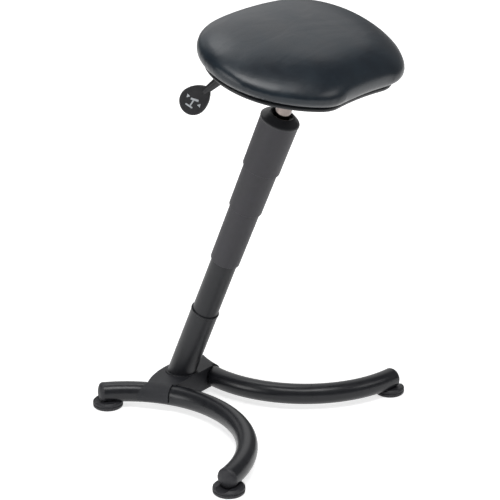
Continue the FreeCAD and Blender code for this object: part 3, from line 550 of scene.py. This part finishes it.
# Sign on the lever's paddle: a perch on its column between two arrowheads, printed in pale grey
signValues = {
    "colour": "#c4c8cc",
    "ink": 0.00025,
    "bars": [
        {"middle": (3.4, 2.4), "size": (14, 3.6), "turnDegrees": -14},
        {"middle": (-1.2, -3.4), "size": (2.4, 10), "turnDegrees": -32},
        {"middle": (-6.0, -8.2), "size": (14, 2.6), "turnDegrees": -30},
    ],
    "arrows": [
        {"middle": (-8.2, 8.4), "size": 3.8, "turnDegrees": 20},
        {"middle": (11.6, -6.8), "size": 3.8, "turnDegrees": 200},
    ],
}


def paddleFrame():
    # Its Z is the paddle's face, and its Y is as upright as the face allows
    face = Vector(paddlePlace["faceWay"])
    upright = (Vector((0, 0, 1)) - face * face.z).normalized()
    right = upright.cross(face)
    turn = Matrix((right, upright, face)).transposed().to_4x4()
    middle = Vector(paddlePlace["middle"]) + face * (paddlePlace["thickness"] / 2)
    return Matrix.Translation(middle) @ turn


def raisePrint(piece, size):
    # Round the corners and give the ink its thickness
    pick(piece)
    bpy.ops.object.mode_set(mode="EDIT")
    bpy.ops.mesh.select_all(action="SELECT")
    bpy.ops.mesh.bevel(offset=size * 0.2, segments=3, affect="VERTICES")
    bpy.ops.mesh.select_all(action="SELECT")
    bpy.ops.mesh.extrude_region_move(TRANSFORM_OT_translate={"value": (0, 0, signValues["ink"])})
    bpy.ops.mesh.select_all(action="SELECT")
    bpy.ops.mesh.normals_make_consistent(inside=False)
    bpy.ops.object.mode_set(mode="OBJECT")


def makeSign():
    parts = []
    for bar in signValues["bars"]:
        deselectAll()
        bpy.ops.mesh.primitive_plane_add(size=1)
        piece = bpy.context.object
        size = (bar["size"][0] / 1000, bar["size"][1] / 1000)
        turn = Matrix.Rotation(math.radians(bar["turnDegrees"]), 4, "Z")
        middle = Matrix.Translation((bar["middle"][0] / 1000, bar["middle"][1] / 1000, 0))
        piece.data.transform(middle @ turn @ Matrix.Diagonal((size[0], size[1], 1, 1)))
        raisePrint(piece, min(size))
        parts.append(piece)
    for arrow in signValues["arrows"]:
        deselectAll()
        bpy.ops.mesh.primitive_circle_add(vertices=3, radius=arrow["size"] / 1000, fill_type="NGON")
        piece = bpy.context.object
        turn = Matrix.Rotation(math.radians(arrow["turnDegrees"]), 4, "Z")
        middle = Matrix.Translation((arrow["middle"][0] / 1000, arrow["middle"][1] / 1000, 0))
        piece.data.transform(middle @ turn)
        raisePrint(piece, arrow["size"] / 1000)
        parts.append(piece)
    deselectAll()
    for piece in parts:
        piece.select_set(True)
    bpy.context.view_layer.objects.active = parts[0]
    bpy.ops.object.join()
    sign = bpy.context.object
    sign.name = "leverSign"
    sign.data.transform(paddleFrame())
    material, tree, shader, place = newMaterial("padPrintInk", {"Roughness": 0.5, "IOR": 1.45})
    speckle(tree, shader, place, 0.002, ("#b4b8bc", signValues["colour"]), (0.45, 0.6))
    sign.data.materials.clear()
    sign.data.materials.append(material)
    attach(sign, "height_lever")


makeSign()
print("sign on the lever")

# Camera as the photograph's: far off, with a long lens, level with a standing adult's chest
cameraValues = {
    "place": (-2.3672, -1.807, 1.4559),
    "turnDegrees": (69.2, 0, -52.82),
    "lens": 129.6,
    "shift": (-0.0016, 0.0016),
}
bpy.ops.object.camera_add(
    location=cameraValues["place"], rotation=[math.radians(angle) for angle in cameraValues["turnDegrees"]]
)
camera = bpy.context.object
camera.name = "studioCamera"
camera.data.lens = cameraValues["lens"]
camera.data.sensor_width = 36
camera.data.shift_x, camera.data.shift_y = cameraValues["shift"]
camera.data.clip_end = 60
bpy.context.scene.camera = camera

# Studio: a pale floor, a large soft box high over the camera's side, small ones behind and at both
# sides, and a white surround
studio = {
    "floorSize": 24,
    "floorColour": "#e6e6e6",
    "floorGlow": 0.7,
    "floorFade": (0.45, 1.7),
    "floorRoughness": 0.9,
    "surround": 0.6,
    "backdrop": {"way": (0.5, 0.6, 0.62), "from": 0.79, "to": 0.92, "dim": 0.2},
    "lamps": {
        "overheadBox": {"place": (0.7, 1.0, 2.9), "aim": (0, 0, 0.3), "size": (1.1, 0.8), "watts": 9},
        "frontBox": {"place": (-1.0, -0.85, 3.4), "aim": (0, 0, 0.5), "size": (2.4, 1.2), "watts": 74},
        "rightBox": {"place": (0.9, -2.6, 2.2), "aim": (0, 0, 0.5), "size": (1.4, 0.8), "watts": 12},
        "leftBox": {"place": (-3.0, 1.0, 1.2), "aim": (0, 0, 0.4), "size": (1.2, 1.4), "watts": 26},
    },
}


def makeFloor():
    deselectAll()
    bpy.ops.mesh.primitive_plane_add(size=studio["floorSize"], location=(0, 0, 0))
    floor = bpy.context.object
    floor.name = "studioFloor"
    material, tree, shader, place = newMaterial("paintedFloor", {"Roughness": studio["floorRoughness"]})
    shader.inputs["Base Color"].default_value = toLinear(studio["floorColour"])
    # The camera, and what metal mirrors, see the floor a little brighter, so it runs into the white
    rays = addNode(tree, "ShaderNodeLightPath")
    seen = addNode(
        tree, "ShaderNodeMath", {"operation": "ADD"},
        {0: rays.outputs["Is Camera Ray"], 1: rays.outputs["Is Glossy Ray"]},
    )
    seenOrThrough = addNode(
        tree, "ShaderNodeMath", {"operation": "ADD", "use_clamp": True},
        {0: seen.outputs[0], 1: rays.outputs["Is Transmission Ray"]},
    )
    # Far from the object, where the lamps fall off, the floor's own glow takes over
    distance = addNode(tree, "ShaderNodeVectorMath", {"operation": "LENGTH"}, {0: place})
    glowLevel = addNode(
        tree,
        "ShaderNodeMapRange",
        {
            "interpolation_type": "SMOOTHSTEP",
            "From Min": studio["floorFade"][0],
            "From Max": studio["floorFade"][1],
            "To Min": studio["floorGlow"],
            "To Max": 1.0,
        },
        {"Value": distance.outputs["Value"]},
    )
    glow = addNode(
        tree, "ShaderNodeMath", {"operation": "MULTIPLY"},
        {0: seenOrThrough.outputs[0], 1: glowLevel.outputs["Result"]},
    )
    shader.inputs["Emission Color"].default_value = (1, 1, 1, 1)
    tree.links.new(glow.outputs[0], shader.inputs["Emission Strength"])
    floor.data.materials.append(material)


def makeSurround():
    # White all round for the camera; what the object mirrors is white behind and above it
    world = bpy.data.worlds.new("whiteStudio")
    world.use_nodes = True
    bpy.context.scene.world = world
    tree = world.node_tree
    background = tree.nodes["Background"]
    rays = addNode(tree, "ShaderNodeLightPath")
    seen = addNode(
        tree, "ShaderNodeMath", {"operation": "ADD"},
        {0: rays.outputs["Is Camera Ray"], 1: rays.outputs["Is Glossy Ray"]},
    )
    seenOrThrough = addNode(
        tree, "ShaderNodeMath", {"operation": "ADD", "use_clamp": True},
        {0: seen.outputs[0], 1: rays.outputs["Is Transmission Ray"]},
    )
    level = addNode(
        tree, "ShaderNodeMapRange", {"To Min": studio["surround"], "To Max": 1.0},
        {"Value": seenOrThrough.outputs[0]},
    )
    way = addNode(tree, "ShaderNodeTexCoord")
    # The white backdrop stands behind the object; the room on the camera's side is dim
    behind = addNode(
        tree, "ShaderNodeVectorMath", {"operation": "DOT_PRODUCT", 1: studio["backdrop"]["way"]},
        {0: way.outputs["Generated"]},
    )
    backdrop = addNode(
        tree,
        "ShaderNodeMapRange",
        {
            "interpolation_type": "SMOOTHSTEP",
            "From Min": studio["backdrop"]["from"],
            "From Max": studio["backdrop"]["to"],
            "To Min": studio["backdrop"]["dim"],
            "To Max": 1.0,
        },
        {"Value": behind.outputs["Value"]},
    )
    backdropOrCamera = addNode(
        tree, "ShaderNodeMath", {"operation": "MAXIMUM"},
        {0: backdrop.outputs["Result"], 1: rays.outputs["Is Camera Ray"]},
    )
    strength = addNode(
        tree, "ShaderNodeMath", {"operation": "MULTIPLY"},
        {0: level.outputs["Result"], 1: backdropOrCamera.outputs[0]},
    )
    background.inputs["Color"].default_value = (1, 1, 1, 1)
    tree.links.new(strength.outputs[0], background.inputs["Strength"])


def makeLamp(name, values):
    bpy.ops.object.light_add(type="AREA", location=values["place"])
    lamp = bpy.context.object
    lamp.name = name
    lamp.data.shape = "RECTANGLE"
    lamp.data.size, lamp.data.size_y = values["size"]
    lamp.data.energy = values["watts"]
    way = Vector(values["aim"]) - Vector(values["place"])
    lamp.rotation_euler = way.to_track_quat("-Z", "Y").to_euler()


makeFloor()
makeSurround()
for lampName, lampValues in studio["lamps"].items():
    makeLamp(lampName, lampValues)
bpy.context.scene.view_settings.view_transform = "Standard"
print("camera, floor and lamps")
